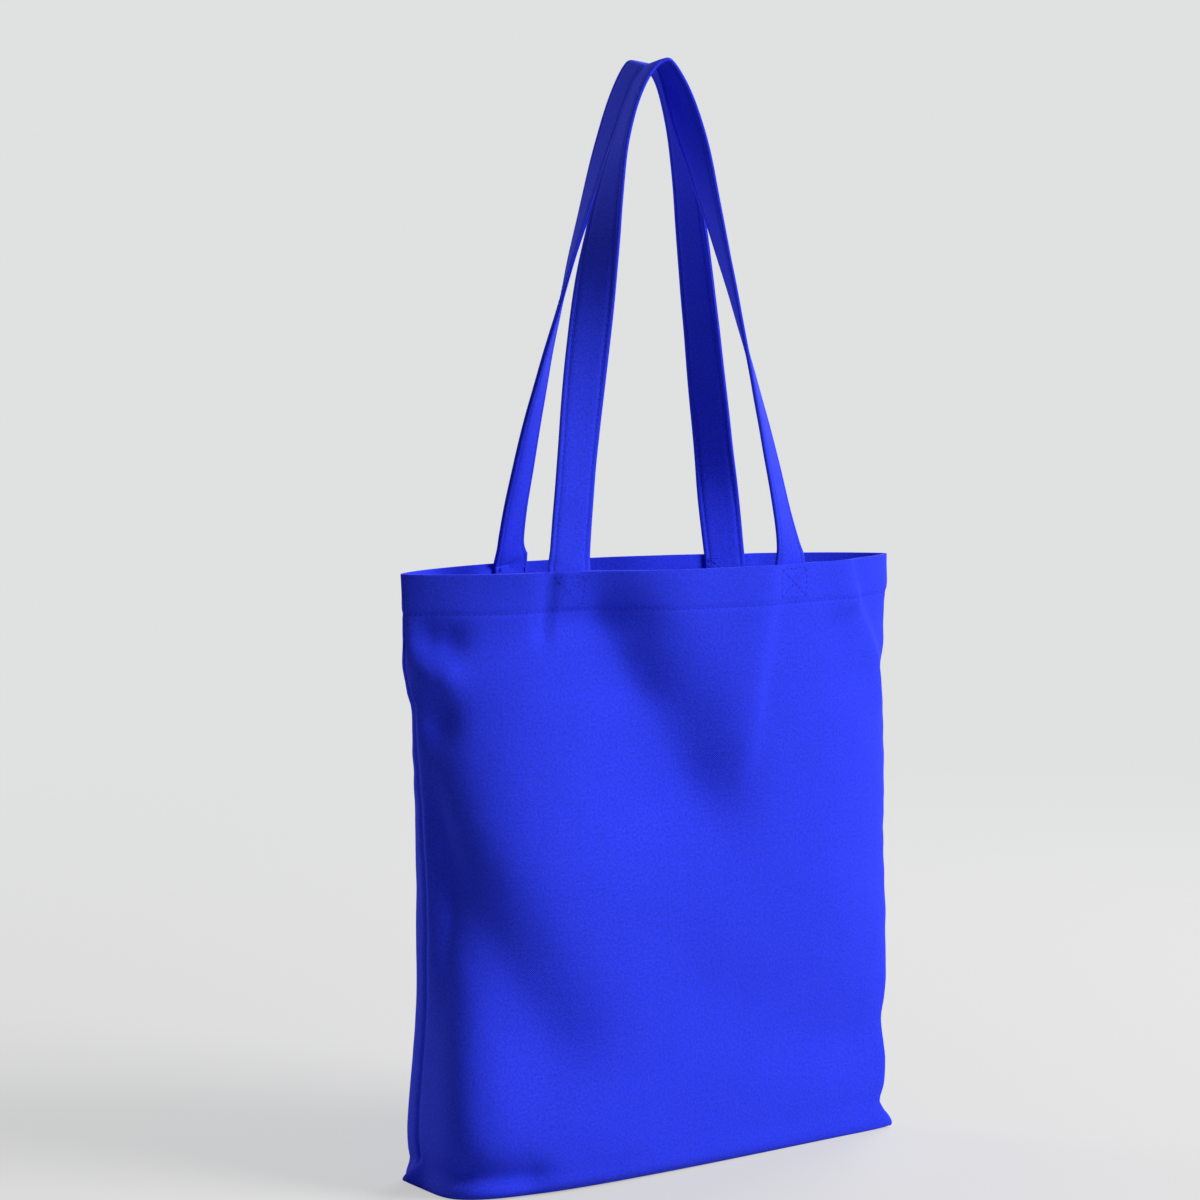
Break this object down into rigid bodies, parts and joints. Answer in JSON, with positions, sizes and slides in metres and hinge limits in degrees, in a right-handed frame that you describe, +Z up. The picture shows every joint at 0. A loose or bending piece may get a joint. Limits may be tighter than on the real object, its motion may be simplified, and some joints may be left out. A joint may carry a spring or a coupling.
{
  "type": "cotton tote bag",
  "caption": "Open-topped canvas tote bag with a stitched hem round its mouth and long flat shoulder handles, standing open on its base.",
  "frame": {"origin": "on the floor under the middle of the mouth, between the two side seams", "axes": "+X across the width of the bag from one side seam to the other, -Y out of the front panel, +Z up"},
  "size_m": [0.3842, 0.1447, 0.7387],
  "materials": {
    "canvas": "matt plain-weave cotton canvas",
    "webbing": "matt folded and topstitched cotton canvas"
  },
  "bodies": {
    "root": {"bag_body": "canvas", "front_handle": "webbing", "back_handle": "webbing"}
  },
  "joints": []
}
